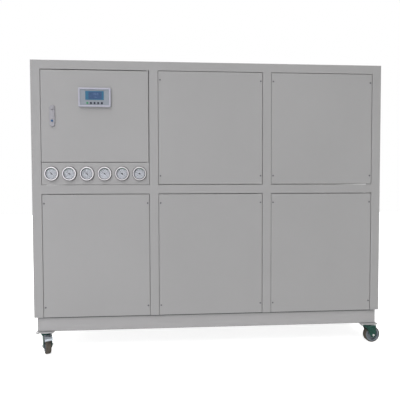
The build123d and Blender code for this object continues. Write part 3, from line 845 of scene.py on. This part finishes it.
bm = bmesh.new()
for caster_x, caster_y in caster_places.values():
    for x in (caster_x - bolt_in_x, caster_x + bolt_in_x):
        for y in (caster_y - bolt_in_y, caster_y + bolt_in_y):
            add_disc(bm, (x, y, plate_underside), (0, 0, -1), washer_radius, washer_height,
                     washer_edge)
            add_disc(bm, (x, y, plate_underside - washer_height), (0, 0, -1), head_radius,
                     head_height, head_edge, nut_sides)
finish_piece("caster_plate_bolts", bm, bolt_steel, "cabinet")

# %% [markdown]
# A wheel runs on a bolt through the fork's legs, with a lock nut at each end. The axle lies
# behind the swivel by the caster's trail, so its place follows from how far the fork is turned.
# The bright end of the bolt stands out of the nut.

# %% Axle nuts
caster_turns = {"front_left": -66.0, "front_right": 4.0, "back_left": 184.0, "back_right": 114.0}
caster_trail = 38.0 * MM
axle_z = 52.0 * MM
leg_outer = 26.0 * MM
nut_radius, nut_height, nut_edge = 8.5 * MM, 5.5 * MM, 0.9 * MM
bolt_end_radius, bolt_end_height, bolt_end_edge = 5.2 * MM, 4.0 * MM, 1.2 * MM

for corner, (caster_x, caster_y) in caster_places.items():
    turn = math.radians(caster_turns[corner])
    trail = Vector((math.cos(turn), math.sin(turn), 0)) * caster_trail
    axle = Vector((caster_x, caster_y, axle_z)) + trail
    bm = bmesh.new()
    for way in (-1, 1):
        along = Vector((-math.sin(turn), math.cos(turn), 0)) * way
        start = axle + along * leg_outer
        add_disc(bm, start, along, nut_radius, nut_height, nut_edge, nut_sides)
        add_disc(bm, start + along * nut_height, along, bolt_end_radius, bolt_end_height,
                 bolt_end_edge)
    finish_piece(f"axle_nuts_{corner}", bm, bolt_steel, f"caster_{corner}")

# %% [markdown]
# A brake pedal is one bent strip on top of the fork. It runs out over the wheel with a slight
# fall and ends in a lip that is turned down for the toe of a boot. A strip is drawn as one edge
# across its width, which is extruded from bend to bend. The bends are bevelled round, and only
# then does solidify give the sheet its thickness, so both sides of a bend stay parallel. It
# stands for the plain strip of the construction, which slopes more than the real one does.

# %% Brake pedals
pedal_half_width = 23.0 * MM
pedal_sheet = 3.0 * MM
pedal_top = 117.0 * MM
pedal_fold = 2.5 * MM
pedal_fold_steps = 3
pedal_path = [Vector((x * MM, 0, z * MM))
              for x, z in ((34, 0), (66, 0), (92, -3), (103.5, -5), (106.5, -16))]


def bend_strip(bm):
    """A pedal's strip, from the fork's crown outwards along +X."""
    start = pedal_path[0]
    edge = bm.edges.new([bm.verts.new((start.x, way * pedal_half_width, pedal_top + start.z))
                         for way in (-1, 1)])
    folds = []
    for past, here in zip(pedal_path, pedal_path[1:]):
        grown = bmesh.ops.extrude_edge_only(bm, edges=[edge])["geom"]
        moved = [g for g in grown if isinstance(g, bmesh.types.BMVert)]
        bmesh.ops.translate(bm, verts=moved, vec=here - past)
        edge = next(e for e in bm.edges if all(v in moved for v in e.verts))
        folds.append(edge)
    round_edges(bm, folds[:-1], pedal_fold, pedal_fold_steps)
    bmesh.ops.recalc_face_normals(bm, faces=bm.faces)
    if next(iter(bm.faces)).normal.z < 0:
        bmesh.ops.reverse_faces(bm, faces=bm.faces)
    bmesh.ops.solidify(bm, geom=list(bm.faces), thickness=pedal_sheet)


for corner in ("front_left", "back_right"):
    bm = bmesh.new()
    bend_strip(bm)
    turn = Matrix.Rotation(math.radians(caster_turns[corner]), 4, "Z")
    place = Matrix.Translation((*caster_places[corner], 0)) @ turn
    bmesh.ops.transform(bm, matrix=place, verts=bm.verts)
    heights = [v.co.z for v in bm.verts]
    print("pedal from", round(min(heights), 4), "to", round(max(heights), 4), "m high")
    pedal = finish_piece(f"pedal_{corner}", bm, pedal_zinc, f"caster_{corner}")
    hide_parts(f"brake_pedal_{corner}")

# %% [markdown]
# Behind the door each of the nine breakers carries a toggle. A toggle is a small bar with rounded
# edges, tipped up as a breaker's is when it is on.

# %% Breaker toggles
breaker_low, breaker_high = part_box("breakers")
breaker_count = 9
breaker_pitch = 19.0 * MM
toggle_size = (9.0 * MM, 10.0 * MM, 6.0 * MM)
toggle_edge = 1.2 * MM
toggle_out, toggle_up = 4.0 * MM, 5.0 * MM
toggle_tip = math.radians(25)
breaker_x = (breaker_low[0] + breaker_high[0]) / 2
breaker_z = (breaker_low[2] + breaker_high[2]) / 2

bm = bmesh.new()
for n in range(breaker_count):
    x = breaker_x + (n - (breaker_count - 1) / 2) * breaker_pitch
    place = (x, breaker_low[1] - toggle_out, breaker_z + toggle_up)
    verts = add_plate(bm, place, toggle_size, toggle_edge)
    bmesh.ops.rotate(bm, cent=place, matrix=Matrix.Rotation(toggle_tip, 3, "X"), verts=verts)
finish_piece("breaker_toggles", bm, contactor_black, "cabinet")

# %% [markdown]
# Each of the four contactors has two rows of three terminal screws, one row at its top and one
# at its foot. At this size a low disc with a bevelled rim is enough for a screw.

# %% Contactor terminals
contactor_low, contactor_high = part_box("contactors")
contactor_count = 4
contactor_pitch = 57.0 * MM
terminal_pitch = 13.0 * MM
terminal_inset = 9.0 * MM
terminal_y = contactor_low[1] + 28.0 * MM
terminal_radius, terminal_height, terminal_edge = 4.0 * MM, 1.5 * MM, 0.5 * MM
terminal_sides = 14
contactor_x = (contactor_low[0] + contactor_high[0]) / 2

bm = bmesh.new()
for n in range(contactor_count):
    middle = contactor_x + (n - (contactor_count - 1) / 2) * contactor_pitch
    for column in (-1, 0, 1):
        for z in (contactor_low[2] + terminal_inset, contactor_high[2] - terminal_inset):
            add_disc(bm, (middle + column * terminal_pitch, terminal_y, z), (0, -1, 0),
                     terminal_radius, terminal_height, terminal_edge, terminal_sides)
finish_piece("contactor_terminals", bm, bolt_steel, "cabinet")
